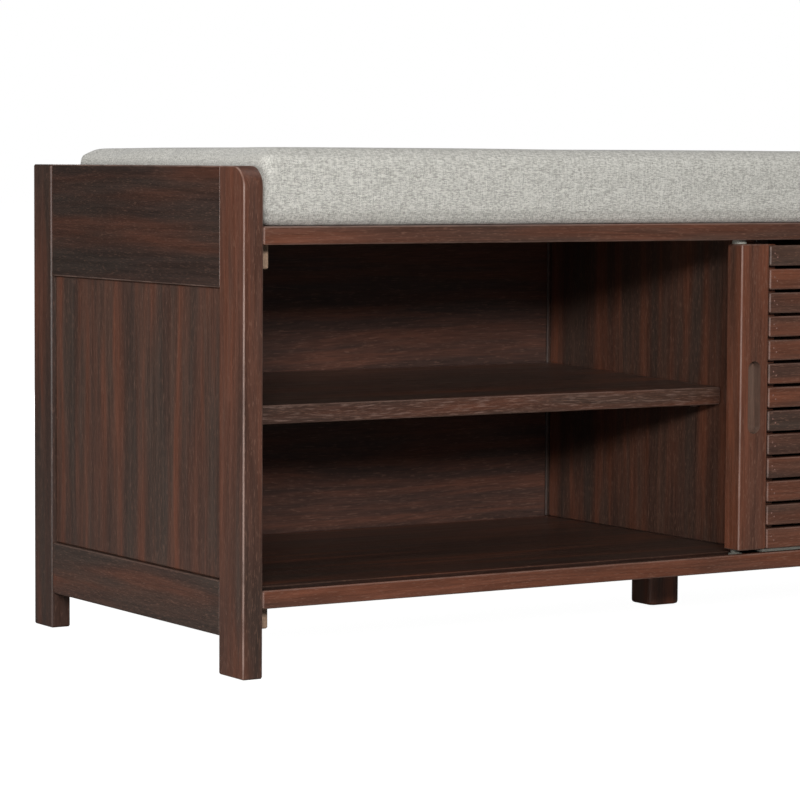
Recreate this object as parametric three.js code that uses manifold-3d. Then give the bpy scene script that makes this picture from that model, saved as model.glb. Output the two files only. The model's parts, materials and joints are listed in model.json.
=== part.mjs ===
// Storage bench: two frame-and-panel ends carry a seat board and a floor board. A divider makes two bays,
// each with a shelf on pins, and one slatted door slides in grooves to close either bay. A loose cushion
// lies between the ends. Millimetres, +Z up, front towards -Y, origin on the floor, mid-base.
import * as THREE from 'three';
import { mergeVertices } from 'three/addons/utils/BufferGeometryUtils.js';
import Module from 'manifold-3d';

const wasm = await Module();
wasm.setup();

// ---- Driving dimensions: overall ----
const BENCH_LENGTH = 1260;
const BENCH_DEPTH = 436;
const END_HEIGHT = 475;

// ---- End frames ----
const POST_THICKNESS = 21;
const FRONT_POST_WIDTH = 46;
const REAR_POST_WIDTH = 40;
const POST_TOP_RADIUS = 20;
const TOP_RAIL_HEIGHT = 113;
const BOTTOM_RAIL_HEIGHT = 52;
const BOTTOM_RAIL_RISE = 36;
const RAIL_SET_IN = 1;
const SIDE_PANEL_RECESS = 5.3;

// ---- Boards ----
const BOARD_THICKNESS = 17;
const SEAT_BOARD_DROP = 55.5;
const FLOOR_BOARD_TOP = 82;
const DIVIDER_THICKNESS = 17;
const SHELF_THICKNESS = 18;
const SHELF_RISE = 165;
const SHELF_REAR_RISE = 9;
const SHELF_SETBACK = 84;
const SHELF_END_GAP = 1;
const SHELF_REAR_GAP = 1;

// ---- Back frame, in line with the rear posts ----
const BACK_RAIL_THICKNESS = 19;
const BACK_FLOOR_RAIL_HEIGHT = 46;
const MULLION_WIDTH = 24;
const BACK_PANEL_THICKNESS = 6;
const BACK_PANEL_RECESS = 3;

// ---- Shelf pins, cleats and centre foot ----
const PIN_DIAMETER = 6;
const PIN_SOCKET = 7;
const PIN_WEB = 3;
const PIN_REACH = 9;
const PIN_INSET = 40;
const CLEAT_SIZE = 23;
const FOOT_SIZE = 40;
const FOOT_RADIUS = 8;
const FOOT_SETBACK = 207;
const FOOT_FLOOR_GAP = 5.5;
const FOOT_EASE = 3;

// ---- Sliding door ----
const DOOR_SETBACK = 4;
const DOOR_THICKNESS = 24;
const DOOR_OVERLAP = 38.5;
const DOOR_END_GAP = 3;
const DOOR_BOTTOM_GAP = 3.5;
const DOOR_TOP_GAP = 4.5;
const STILE_WIDTH = 35.5;
const STILE_LIP = 17;
const LIP_SET_IN = 0.5;
const SLAT_COUNT = 13;
const SLAT_GAP = 3.6;
const SLAT_END_GAP = 1.2;
const SLAT_TOP_DROP = 1.5;
const SLAT_THICKNESS = 12;
const BATTEN_WIDTH = 40;
const PULL_WIDTH = 16;
const PULL_LENGTH = 74;
const PULL_DEPTH = 10;
const GROOVE_SETBACK = 8;
const GROOVE_WIDTH = 22;
const GROOVE_DEPTH = 6;
const GUIDE_DIAMETER = 15;
const GUIDE_NECK = 10;
const GUIDE_EDGE_GAP = 0.5;
const STRIP_WIDTH = 10;
const STRIP_OVERLAP = 3.5;

// ---- Cushion ----
const CUSHION_THICKNESS = 72;
const CUSHION_GAP = 3;
const CUSHION_CORNER = 16;
const CUSHION_EDGE = 12;

// ---- Joinery and clearances ----
const FIT = 0.3;
const ARRIS = 1.2;
const TENON_LENGTH = 14;
const TENON_THICKNESS = 8;
const TENON_SHOULDER = 12;
const TONGUE_LENGTH = 8;
const TONGUE_THICKNESS = 6;
const HOUSING_DEPTH = 5;
const HOUSING_WEB = 1.5;
const RUNNING_GAP = 2.5;
const ARC_STEPS = 10;
const ROUND_SIDES = 20;

// ---- Derived places ----
const END_X = BENCH_LENGTH / 2;
const INNER_X = END_X - POST_THICKNESS;
const JOINERY_X = END_X - POST_THICKNESS / 2;
const FRONT_Y = -BENCH_DEPTH / 2;
const REAR_Y = BENCH_DEPTH / 2;
const RAIL_FRONT_Y = FRONT_Y + FRONT_POST_WIDTH;
const RAIL_REAR_Y = REAR_Y - REAR_POST_WIDTH;
const TOP_RAIL_BOTTOM = END_HEIGHT - TOP_RAIL_HEIGHT;
const BOTTOM_RAIL_TOP = BOTTOM_RAIL_RISE + BOTTOM_RAIL_HEIGHT;
const SEAT_BOARD_TOP = END_HEIGHT - SEAT_BOARD_DROP;
const SEAT_BOARD_BOTTOM = SEAT_BOARD_TOP - BOARD_THICKNESS;
const FLOOR_BOARD_BOTTOM = FLOOR_BOARD_TOP - BOARD_THICKNESS;
const BOARD_REAR_Y = RAIL_REAR_Y - FIT;
const SHELF_FRONT_TOP = FLOOR_BOARD_TOP + SHELF_RISE;
const SHELF_FRONT_Y = FRONT_Y + SHELF_SETBACK;
const SHELF_DEPTH = BOARD_REAR_Y - SHELF_FRONT_Y;
const SHELF_TILT = Math.asin(SHELF_REAR_RISE / SHELF_DEPTH);
const POST_HOUSING = (POST_THICKNESS - TENON_THICKNESS) / 2 - HOUSING_WEB;
const BACK_JOINERY_Y = RAIL_REAR_Y + BACK_PANEL_RECESS + BACK_PANEL_THICKNESS / 2;
const DOOR_FRONT_Y = FRONT_Y + DOOR_SETBACK;
const DOOR_REAR_Y = DOOR_FRONT_Y + DOOR_THICKNESS;
const BEHIND_DOOR_Y = DOOR_REAR_Y + RUNNING_GAP;
const DOOR_BOTTOM = FLOOR_BOARD_TOP + DOOR_BOTTOM_GAP;
const DOOR_TOP = SEAT_BOARD_BOTTOM - DOOR_TOP_GAP;
const DOOR_LEFT_X = -DIVIDER_THICKNESS / 2 - DOOR_OVERLAP;
const DOOR_RIGHT_X = INNER_X - DOOR_END_GAP;
const DOOR_MIDDLE_X = (DOOR_LEFT_X + DOOR_RIGHT_X) / 2;
const SLAT_REAR_Y = DOOR_FRONT_Y + SLAT_THICKNESS;
const GROOVE_FRONT_Y = FRONT_Y + GROOVE_SETBACK;
const GROOVE_MIDDLE_Y = GROOVE_FRONT_Y + GROOVE_WIDTH / 2;

function finish(color, roughness, metalness = 0) {
  return new THREE.MeshStandardMaterial({ color, roughness, metalness, flatShading: true });
}

const walnut = finish(0x3b2a24, 0.5);
const plywood = finish(0x2c2420, 0.6);
const batten = finish(0x7d6350, 0.7);
const nylon = finish(0xb4b2ad, 0.4);
const steel = finish(0xa8a6a2, 0.3, 1);
const linen = finish(0xcbc4ba, 0.95);

const bench = new THREE.Group();

function addPiece(name, geometry, material) {
  const mesh = new THREE.Mesh(geometry, material);
  mesh.name = name;
  bench.add(mesh);
  return mesh;
}

// A plain block between two corners, each pair given in either order.
function block([xa, xb], [ya, yb], [za, zb]) {
  const geometry = new THREE.BoxGeometry(Math.abs(xb - xa), Math.abs(yb - ya), Math.abs(zb - za));
  return geometry.translate((xa + xb) / 2, (ya + yb) / 2, (za + zb) / 2);
}

// A closed outline with each corner cut back by the arris; corners come in order round the outline.
function easedOutline(corners) {
  const shape = new THREE.Shape();
  corners.forEach((corner, i) => {
    const before = corners[(i + corners.length - 1) % corners.length];
    const after = corners[(i + 1) % corners.length];
    const start = corner.clone().add(before.clone().sub(corner).setLength(ARRIS));
    const end = corner.clone().add(after.clone().sub(corner).setLength(ARRIS));
    if (i === 0) {
      shape.moveTo(start.x, start.y);
    } else {
      shape.lineTo(start.x, start.y);
    }
    shape.lineTo(end.x, end.y);
  });
  return shape.closePath();
}

// An outline made solid along +Z from 0 to height, with an eased arris round both faces.
function easedSlab(shape, height, ease = ARRIS, steps = 1) {
  const geometry = new THREE.ExtrudeGeometry(shape, {
    depth: height - 2 * ease,
    bevelEnabled: true,
    bevelThickness: ease,
    bevelSize: ease,
    bevelOffset: -ease,
    bevelSegments: steps,
    curveSegments: ARC_STEPS,
  });
  return geometry.translate(0, 0, ease);
}

// A board or batten with all its arrises eased.
function easedBlock([xa, xb], [ya, yb], [za, zb]) {
  const [x0, x1] = [Math.min(xa, xb), Math.max(xa, xb)];
  const [y0, y1] = [Math.min(ya, yb), Math.max(ya, yb)];
  const corners = [[x0, y0], [x1, y0], [x1, y1], [x0, y1]].map(([x, y]) => new THREE.Vector2(x, y));
  return easedSlab(easedOutline(corners), Math.abs(zb - za)).translate(0, 0, Math.min(za, zb));
}

function roundedRectangle([x0, x1], [y0, y1], radius) {
  const shape = new THREE.Shape();
  shape.moveTo(x0 + radius, y0);
  shape.absarc(x1 - radius, y0 + radius, radius, -Math.PI / 2, 0);
  shape.absarc(x1 - radius, y1 - radius, radius, 0, Math.PI / 2);
  shape.absarc(x0 + radius, y1 - radius, radius, Math.PI / 2, Math.PI);
  shape.absarc(x0 + radius, y0 + radius, radius, Math.PI, 1.5 * Math.PI);
  return shape;
}

function toSolid(geometry) {
  const bare = geometry.clone();
  bare.deleteAttribute('normal');
  bare.deleteAttribute('uv');
  const merged = mergeVertices(bare, 1e-4);
  const vertProperties = new Float32Array(merged.attributes.position.array);
  const triVerts = new Uint32Array(merged.index.array);
  return new wasm.Manifold(new wasm.Mesh({ numProp: 3, vertProperties, triVerts }));
}

function toGeometry(solid) {
  const mesh = solid.getMesh();
  const geometry = new THREE.BufferGeometry();
  geometry.setAttribute('position', new THREE.BufferAttribute(new Float32Array(mesh.vertProperties), 3));
  geometry.setIndex(new THREE.BufferAttribute(new Uint32Array(mesh.triVerts), 1));
  geometry.computeVertexNormals();
  return geometry;
}

function shaped(body, { joined = [], cut = [] }) {
  let solid = toSolid(body);
  joined.forEach((extra) => {
    solid = solid.add(toSolid(extra));
  });
  cut.forEach((tool) => {
    solid = solid.subtract(toSolid(tool));
  });
  return toGeometry(solid);
}

// ---- End frames: side is -1 for the left end and 1 for the right ----
const jointX = (side, thickness) => [
  side * (JOINERY_X - thickness / 2),
  side * (JOINERY_X + thickness / 2),
];
const RAILS = {
  top_rail: [TOP_RAIL_BOTTOM, END_HEIGHT],
  bottom_rail: [BOTTOM_RAIL_RISE, BOTTOM_RAIL_TOP],
};
const PANEL_Z = [BOTTOM_RAIL_TOP, TOP_RAIL_BOTTOM];
const BACK_RAILS = {
  back_top_rail: [SEAT_BOARD_BOTTOM, END_HEIGHT],
  back_bottom_rail: [FLOOR_BOARD_TOP - BACK_FLOOR_RAIL_HEIGHT, FLOOR_BOARD_TOP],
};
const BACK_PANEL_Z = [FLOOR_BOARD_TOP, SEAT_BOARD_BOTTOM];

// The mortises and the panel groove that a post's edge at y takes from the end frame; inward is +-1 in Y.
function endFrameSockets(side, y, inward) {
  const mortises = Object.values(RAILS).map(([low, high]) => block(
    jointX(side, TENON_THICKNESS + 2 * FIT),
    [y + inward, y - inward * (TENON_LENGTH + FIT)],
    [low + TENON_SHOULDER - FIT, high - TENON_SHOULDER + FIT],
  ));
  const groove = block(
    jointX(side, TONGUE_THICKNESS + 2 * FIT),
    [y + inward, y - inward * (TONGUE_LENGTH + FIT)],
    [PANEL_Z[0] - TONGUE_LENGTH - FIT, PANEL_Z[1] + TONGUE_LENGTH + FIT],
  );
  return [...mortises, groove];
}

// A post's outline is drawn in depth and height, then stood up across the bench.
function postBody(side, outline) {
  const slab = easedSlab(outline, POST_THICKNESS);
  slab.rotateX(Math.PI / 2);
  slab.rotateZ(Math.PI / 2);
  return slab.translate(side < 0 ? -END_X : INNER_X, 0, 0);
}

// The front post's top corner is rounded towards the sitter.
function frontPostOutline() {
  const shape = new THREE.Shape();
  shape.moveTo(FRONT_Y, ARRIS);
  shape.lineTo(FRONT_Y + ARRIS, 0);
  shape.lineTo(RAIL_FRONT_Y - ARRIS, 0);
  shape.lineTo(RAIL_FRONT_Y, ARRIS);
  shape.lineTo(RAIL_FRONT_Y, END_HEIGHT - ARRIS);
  shape.lineTo(RAIL_FRONT_Y - ARRIS, END_HEIGHT);
  const arcY = FRONT_Y + POST_TOP_RADIUS;
  shape.lineTo(arcY, END_HEIGHT);
  shape.absarc(arcY, END_HEIGHT - POST_TOP_RADIUS, POST_TOP_RADIUS, Math.PI / 2, Math.PI);
  return shape.closePath();
}

function rearPostOutline() {
  const corners = [[RAIL_REAR_Y, 0], [REAR_Y, 0], [REAR_Y, END_HEIGHT], [RAIL_REAR_Y, END_HEIGHT]];
  return easedOutline(corners.map(([y, z]) => new THREE.Vector2(y, z)));
}

function frontPost(side) {
  const body = postBody(side, frontPostOutline());
  return shaped(body, { cut: endFrameSockets(side, RAIL_FRONT_Y, 1) });
}

// The rear post also takes the stub tenons of the back rails and the edge of a back panel.
function rearPost(side) {
  const body = postBody(side, rearPostOutline());
  const housingX = [side * (INNER_X - 1), side * (INNER_X + POST_HOUSING + FIT)];
  const stubs = Object.values(BACK_RAILS).map(([low, high]) => block(
    housingX,
    [BACK_JOINERY_Y - BACK_PANEL_THICKNESS / 2 - FIT, BACK_JOINERY_Y + BACK_PANEL_THICKNESS / 2 + FIT],
    [low + TENON_SHOULDER - FIT, high - TENON_SHOULDER + FIT],
  ));
  const panelSlot = block(
    housingX,
    [BACK_JOINERY_Y - BACK_PANEL_THICKNESS / 2 - FIT, BACK_JOINERY_Y + BACK_PANEL_THICKNESS / 2 + FIT],
    [BACK_PANEL_Z[0] - HOUSING_DEPTH - FIT, BACK_PANEL_Z[1] + HOUSING_DEPTH + FIT],
  );
  return shaped(body, { cut: [...endFrameSockets(side, RAIL_REAR_Y, -1), ...stubs, panelSlot] });
}

// A rail between the posts, with a tenon at each end and a groove for the panel along its panelEdge.
function endRail(side, [low, high], panelEdge) {
  const railX = [side * (INNER_X + RAIL_SET_IN), side * (END_X - RAIL_SET_IN)];
  const body = easedBlock(railX, [RAIL_FRONT_Y + FIT, RAIL_REAR_Y - FIT], [low, high]);
  const tenon = block(
    jointX(side, TENON_THICKNESS),
    [RAIL_FRONT_Y - TENON_LENGTH, RAIL_REAR_Y + TENON_LENGTH],
    [low + TENON_SHOULDER, high - TENON_SHOULDER],
  );
  const into = panelEdge === high ? -1 : 1;
  const groove = block(
    jointX(side, TONGUE_THICKNESS + 2 * FIT),
    [RAIL_FRONT_Y - 1, RAIL_REAR_Y + 1],
    [panelEdge - into, panelEdge + into * (TONGUE_LENGTH + FIT)],
  );
  return shaped(body, { joined: [tenon], cut: [groove] });
}

// The shelf falls towards the front, so its pins stand on a line that rises to the rear with it.
const pinY = [SHELF_FRONT_Y + PIN_INSET, BOARD_REAR_Y - PIN_INSET];
const pinDrop = (SHELF_THICKNESS + FIT + PIN_DIAMETER / 2) / Math.cos(SHELF_TILT);

// A shelf pin's shape along X from xa to xb.
function pinShape(xa, xb, y, diameter) {
  const geometry = new THREE.CylinderGeometry(diameter / 2, diameter / 2, Math.abs(xb - xa), ROUND_SIDES);
  geometry.rotateZ(Math.PI / 2);
  const shelfTop = SHELF_FRONT_TOP + (y - SHELF_FRONT_Y) * Math.tan(SHELF_TILT);
  return geometry.translate((xa + xb) / 2, y, shelfTop - pinDrop);
}

// The sockets of one depth in the upright whose face is at x, drilled towards into.
function pinSockets(x, into, depth) {
  return pinY.map((y) => pinShape(x - into, x + into * (depth + FIT), y, PIN_DIAMETER + 2 * FIT));
}

// The panel stands back from the outer face, is flush with the posts inside and has a tongue all round.
function sidePanel(side) {
  const body = easedBlock(
    [side * INNER_X, side * (END_X - SIDE_PANEL_RECESS)],
    [RAIL_FRONT_Y + FIT, RAIL_REAR_Y - FIT],
    [PANEL_Z[0] + FIT, PANEL_Z[1] - FIT],
  );
  const tongue = block(
    jointX(side, TONGUE_THICKNESS),
    [RAIL_FRONT_Y - TONGUE_LENGTH, RAIL_REAR_Y + TONGUE_LENGTH],
    [PANEL_Z[0] - TONGUE_LENGTH, PANEL_Z[1] + TONGUE_LENGTH],
  );
  return shaped(body, { joined: [tongue], cut: pinSockets(side * INNER_X, side, PIN_SOCKET) });
}

for (const [side, end] of [[-1, 'left'], [1, 'right']]) {
  addPiece(`${end}_front_post`, frontPost(side), walnut);
  addPiece(`${end}_rear_post`, rearPost(side), walnut);
  addPiece(`${end}_top_rail`, endRail(side, RAILS.top_rail, TOP_RAIL_BOTTOM), walnut);
  addPiece(`${end}_bottom_rail`, endRail(side, RAILS.bottom_rail, BOTTOM_RAIL_TOP), walnut);
  addPiece(`${end}_side_panel`, sidePanel(side), walnut);
}

// ---- Back frame ----
const backRailY = [RAIL_REAR_Y, RAIL_REAR_Y + BACK_RAIL_THICKNESS];
const backTongueY = [BACK_JOINERY_Y - BACK_PANEL_THICKNESS / 2, BACK_JOINERY_Y + BACK_PANEL_THICKNESS / 2];
const backSlotY = [backTongueY[0] - FIT, backTongueY[1] + FIT];

for (const [name, [low, high]] of Object.entries(BACK_RAILS)) {
  const panelEdge = name === 'back_top_rail' ? low : high;
  const into = name === 'back_top_rail' ? 1 : -1;
  const body = easedBlock([-INNER_X + FIT, INNER_X - FIT], backRailY, [low, high]);
  const stub = block(
    [-INNER_X - POST_HOUSING, INNER_X + POST_HOUSING],
    backTongueY,
    [low + TENON_SHOULDER, high - TENON_SHOULDER],
  );
  const slot = block(
    [-INNER_X, INNER_X],
    backSlotY,
    [panelEdge - into, panelEdge + into * (HOUSING_DEPTH + FIT)],
  );
  addPiece(name, shaped(body, { joined: [stub], cut: [slot] }), walnut);
}

// The mullion is grooved down both edges and its stub tenons stand in the rails' grooves.
const mullionBody = easedBlock(
  [-MULLION_WIDTH / 2, MULLION_WIDTH / 2],
  backRailY,
  [BACK_PANEL_Z[0] + FIT, BACK_PANEL_Z[1] - FIT],
);
const mullionStub = block(
  [-MULLION_WIDTH / 2 + HOUSING_DEPTH + 2 * FIT, MULLION_WIDTH / 2 - HOUSING_DEPTH - 2 * FIT],
  backTongueY,
  [BACK_PANEL_Z[0] - HOUSING_DEPTH, BACK_PANEL_Z[1] + HOUSING_DEPTH],
);
const mullionSlots = [-1, 1].map((side) => block(
  [side * (MULLION_WIDTH / 2 + 1), side * (MULLION_WIDTH / 2 - HOUSING_DEPTH - FIT)],
  backSlotY,
  BACK_PANEL_Z,
));
addPiece('back_mullion', shaped(mullionBody, { joined: [mullionStub], cut: mullionSlots }), walnut);

for (const [side, end] of [[-1, 'left'], [1, 'right']]) {
  const panel = block(
    [side * (MULLION_WIDTH / 2 - HOUSING_DEPTH), side * (INNER_X + POST_HOUSING)],
    backTongueY,
    [BACK_PANEL_Z[0] - HOUSING_DEPTH, BACK_PANEL_Z[1] + HOUSING_DEPTH],
  );
  addPiece(`${end}_back_panel`, panel, plywood);
}

// ---- Seat board and floor board, grooved for the door ----
const boardX = [-INNER_X + FIT, INNER_X - FIT];
const grooveY = [GROOVE_FRONT_Y, GROOVE_FRONT_Y + GROOVE_WIDTH];
const seatBoard = easedBlock(boardX, [FRONT_Y, BOARD_REAR_Y], [SEAT_BOARD_BOTTOM, SEAT_BOARD_TOP]);
const grooveX = [-END_X, END_X];
const seatGroove = block(grooveX, grooveY, [SEAT_BOARD_BOTTOM - 1, SEAT_BOARD_BOTTOM + GROOVE_DEPTH]);
addPiece('seat_board', shaped(seatBoard, { cut: [seatGroove] }), walnut);
const floorBoard = easedBlock(boardX, [FRONT_Y, BOARD_REAR_Y], [FLOOR_BOARD_BOTTOM, FLOOR_BOARD_TOP]);
const floorGroove = block(grooveX, grooveY, [FLOOR_BOARD_TOP + 1, FLOOR_BOARD_TOP - GROOVE_DEPTH]);
addPiece('bottom_board', shaped(floorBoard, { cut: [floorGroove] }), walnut);

// ---- Centre divider, shelves and their pins ----
const dividerFace = DIVIDER_THICKNESS / 2;
const dividerBody = easedBlock(
  [-dividerFace, dividerFace],
  [BEHIND_DOOR_Y, BOARD_REAR_Y],
  [FLOOR_BOARD_TOP + FIT, SEAT_BOARD_BOTTOM - FIT],
);
const dividerSocket = (DIVIDER_THICKNESS - PIN_WEB) / 2;
const dividerSockets = [
  ...pinSockets(-dividerFace, 1, dividerSocket),
  ...pinSockets(dividerFace, -1, dividerSocket),
];
addPiece('centre_divider', shaped(dividerBody, { cut: dividerSockets }), walnut);

for (const [side, end] of [[-1, 'left'], [1, 'right']]) {
  const shelfX = [side * (dividerFace + SHELF_END_GAP), side * (INNER_X - SHELF_END_GAP)];
  const shelf = easedBlock(shelfX, [0, SHELF_DEPTH - SHELF_REAR_GAP], [-SHELF_THICKNESS, 0]);
  shelf.rotateX(SHELF_TILT).translate(0, SHELF_FRONT_Y, SHELF_FRONT_TOP);
  addPiece(`${end}_shelf`, shelf, walnut);
  pinY.forEach((y, i) => {
    const place = i === 0 ? 'front' : 'rear';
    const outer = pinShape(side * (INNER_X + PIN_SOCKET), side * (INNER_X - PIN_REACH), y, PIN_DIAMETER);
    const innerX = [side * (dividerFace - dividerSocket), side * (dividerFace + PIN_REACH)];
    const inner = pinShape(...innerX, y, PIN_DIAMETER);
    addPiece(`${end}_shelf_outer_${place}_pin`, outer, steel);
    addPiece(`${end}_shelf_inner_${place}_pin`, inner, steel);
  });
}

// ---- Cleats under both boards at the ends, and the centre foot ----
for (const [side, end] of [[-1, 'left'], [1, 'right']]) {
  for (const [level, board] of [['seat', SEAT_BOARD_BOTTOM], ['floor', FLOOR_BOARD_BOTTOM]]) {
    const cleat = easedBlock(
      [side * (INNER_X - FIT), side * (INNER_X - FIT - CLEAT_SIZE)],
      [BEHIND_DOOR_Y, BOARD_REAR_Y],
      [board - FIT - CLEAT_SIZE, board - FIT],
    );
    addPiece(`${end}_${level}_cleat`, cleat, batten);
  }
}

const footY = FRONT_Y + FOOT_SETBACK;
const footOutline = roundedRectangle(
  [-FOOT_SIZE / 2, FOOT_SIZE / 2],
  [footY - FOOT_SIZE / 2, footY + FOOT_SIZE / 2],
  FOOT_RADIUS,
);
const footHeight = FLOOR_BOARD_BOTTOM - FIT - FOOT_FLOOR_GAP;
const foot = easedSlab(footOutline, footHeight, FOOT_EASE, 2);
addPiece('centre_foot', foot.translate(0, 0, FOOT_FLOOR_GAP), walnut);

// ---- Sliding door ----
const pullMiddle = (DOOR_BOTTOM + DOOR_TOP) / 2;

// A slot with round ends, cut back from the stile's front face.
function pullCutter(x) {
  const outline = roundedRectangle(
    [x - PULL_WIDTH / 2, x + PULL_WIDTH / 2],
    [pullMiddle - PULL_LENGTH / 2, pullMiddle + PULL_LENGTH / 2],
    PULL_WIDTH / 2,
  );
  const slot = new THREE.ExtrudeGeometry(outline, {
    depth: PULL_DEPTH + 1,
    bevelEnabled: false,
    curveSegments: ARC_STEPS,
  });
  slot.rotateX(Math.PI / 2);
  return slot.translate(0, DOOR_FRONT_Y + PULL_DEPTH, 0);
}

// The stile carries the slats' ends on a lip behind them; inward points to the middle of the door.
function stile(outerX, inward) {
  const innerX = outerX + inward * STILE_WIDTH;
  const body = easedBlock([outerX, innerX], [DOOR_FRONT_Y, DOOR_REAR_Y], [DOOR_BOTTOM, DOOR_TOP]);
  const lip = block(
    [innerX - inward * STILE_LIP, innerX + inward * STILE_LIP],
    [SLAT_REAR_Y + FIT, DOOR_REAR_Y - LIP_SET_IN],
    [DOOR_BOTTOM + LIP_SET_IN, DOOR_TOP - LIP_SET_IN],
  );
  return shaped(body, { joined: [lip], cut: [pullCutter((outerX + innerX) / 2)] });
}

addPiece('door_left_stile', stile(DOOR_LEFT_X, 1), walnut);
addPiece('door_right_stile', stile(DOOR_RIGHT_X, -1), walnut);

const slatX = [DOOR_LEFT_X + STILE_WIDTH + SLAT_END_GAP, DOOR_RIGHT_X - STILE_WIDTH - SLAT_END_GAP];
const slatTop = DOOR_TOP - SLAT_TOP_DROP;
const slatHeight = (slatTop - DOOR_BOTTOM - (SLAT_COUNT - 1) * SLAT_GAP) / SLAT_COUNT;
for (let i = 0; i < SLAT_COUNT; i += 1) {
  const top = slatTop - i * (slatHeight + SLAT_GAP);
  const slat = easedBlock(slatX, [DOOR_FRONT_Y, SLAT_REAR_Y], [top - slatHeight, top]);
  addPiece(`door_slat_${String(i + 1).padStart(2, '0')}`, slat, walnut);
}

const battenX = [DOOR_MIDDLE_X - BATTEN_WIDTH / 2, DOOR_MIDDLE_X + BATTEN_WIDTH / 2];
const battenBody = easedBlock(battenX, [SLAT_REAR_Y + FIT, DOOR_REAR_Y], [DOOR_BOTTOM, DOOR_TOP]);
addPiece('door_back_batten', battenBody, batten);

// A nylon guide is turned about Z: its flange lies on the door's edge and its head runs in the groove.
function guide(profile, x, z) {
  const points = profile.map(([radius, height]) => new THREE.Vector2(radius, height));
  return new THREE.LatheGeometry(points, ROUND_SIDES).rotateX(Math.PI / 2).translate(x, GROOVE_MIDDLE_Y, z);
}

const guideRadius = GUIDE_DIAMETER / 2;
const neckRadius = GUIDE_NECK / 2;

// The top guide is a half ball with its flat side on the door's top edge.
const topGuideProfile = [[0, FIT]];
for (let i = 0; i < ARC_STEPS; i += 1) {
  const angle = (i / ARC_STEPS) * (Math.PI / 2);
  topGuideProfile.push([guideRadius * Math.cos(angle), FIT + guideRadius * Math.sin(angle)]);
}
topGuideProfile.push([0, FIT + guideRadius]);

// The bottom glide has a narrow neck in the gap under the door and a broad foot in the groove.
const glideDrop = DOOR_BOTTOM_GAP + GROOVE_DEPTH - FIT;
const bottomGlideProfile = [
  [0, -glideDrop],
  [guideRadius - ARRIS, -glideDrop],
  [guideRadius, ARRIS - glideDrop],
  [guideRadius, -DOOR_BOTTOM_GAP],
  [neckRadius, -DOOR_BOTTOM_GAP],
  [neckRadius, -FIT],
  [0, -FIT],
];
const guideInset = guideRadius + GUIDE_EDGE_GAP;
for (const [end, x] of [['left', DOOR_LEFT_X + guideInset], ['right', DOOR_RIGHT_X - guideInset]]) {
  addPiece(`door_${end}_top_guide`, guide(topGuideProfile, x, DOOR_TOP), nylon);
  addPiece(`door_${end}_bottom_glide`, guide(bottomGlideProfile, x, DOOR_BOTTOM), nylon);
}

// A flat wear strip under the lowest slat, between the glides.
const strip = block(
  [DOOR_LEFT_X + STILE_WIDTH - STRIP_OVERLAP, DOOR_RIGHT_X - STILE_WIDTH + STRIP_OVERLAP],
  [DOOR_FRONT_Y + ARRIS, DOOR_FRONT_Y + ARRIS + STRIP_WIDTH],
  [FLOOR_BOARD_TOP + 2 * FIT, DOOR_BOTTOM - FIT],
);
addPiece('door_wear_strip', strip, nylon);

// ---- Cushion ----
const cushionOutline = roundedRectangle(
  [-INNER_X + CUSHION_GAP, INNER_X - CUSHION_GAP],
  [FRONT_Y + CUSHION_GAP, BOARD_REAR_Y - CUSHION_GAP],
  CUSHION_CORNER,
);
const cushion = easedSlab(cushionOutline, CUSHION_THICKNESS, CUSHION_EDGE, 3);
addPiece('cushion', cushion.translate(0, 0, SEAT_BOARD_TOP + FIT), linen);

export default bench;
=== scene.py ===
"""The looks of a storage bench: stained wood, veneered back, nylon guides, steel pins and screws, and a
linen seat cushion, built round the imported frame. Lengths are metres, and MM is one millimetre."""

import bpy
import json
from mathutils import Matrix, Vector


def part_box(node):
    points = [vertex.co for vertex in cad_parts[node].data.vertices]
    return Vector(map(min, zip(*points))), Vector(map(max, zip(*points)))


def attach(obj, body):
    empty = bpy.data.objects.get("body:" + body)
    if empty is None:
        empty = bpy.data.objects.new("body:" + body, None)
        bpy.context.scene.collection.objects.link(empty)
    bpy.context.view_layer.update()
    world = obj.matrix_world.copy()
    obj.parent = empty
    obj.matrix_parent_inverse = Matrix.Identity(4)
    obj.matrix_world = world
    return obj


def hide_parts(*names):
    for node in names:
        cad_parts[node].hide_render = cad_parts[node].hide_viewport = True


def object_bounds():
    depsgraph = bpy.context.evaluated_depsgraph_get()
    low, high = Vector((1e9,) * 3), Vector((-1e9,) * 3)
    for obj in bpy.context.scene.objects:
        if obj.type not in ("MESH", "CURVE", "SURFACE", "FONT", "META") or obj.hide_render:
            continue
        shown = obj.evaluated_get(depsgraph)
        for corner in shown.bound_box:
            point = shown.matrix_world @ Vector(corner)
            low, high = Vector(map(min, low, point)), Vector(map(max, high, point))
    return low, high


bl_info = {
    "name": "Storage bench",
    "version": (1, 0, 0),
    "blender": (4, 5, 0),
    "location": "View3D > Sidebar > Bench",
    "description": "Finishes a storage bench: its woods, its hardware, its cushion and its studio",
    "category": "Object",
}

import json
from math import copysign, cos, exp, pi, radians, sin, sqrt, tanh

import bmesh
import bpy
from bpy.props import FloatProperty, FloatVectorProperty, IntProperty, PointerProperty
from mathutils import Matrix, Vector, noise

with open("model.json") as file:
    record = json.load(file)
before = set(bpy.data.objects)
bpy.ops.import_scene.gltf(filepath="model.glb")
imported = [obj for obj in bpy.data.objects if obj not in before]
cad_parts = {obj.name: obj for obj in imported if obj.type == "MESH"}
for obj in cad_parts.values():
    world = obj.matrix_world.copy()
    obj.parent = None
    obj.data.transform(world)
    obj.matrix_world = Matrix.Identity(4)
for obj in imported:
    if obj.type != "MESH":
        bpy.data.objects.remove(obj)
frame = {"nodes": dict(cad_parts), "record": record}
CAD_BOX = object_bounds()
SLOTS = {row["node"]: row["material_slot"] for row in frame["record"]["subparts"]}
MM = 0.001
AXES = "XYZ"


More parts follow.
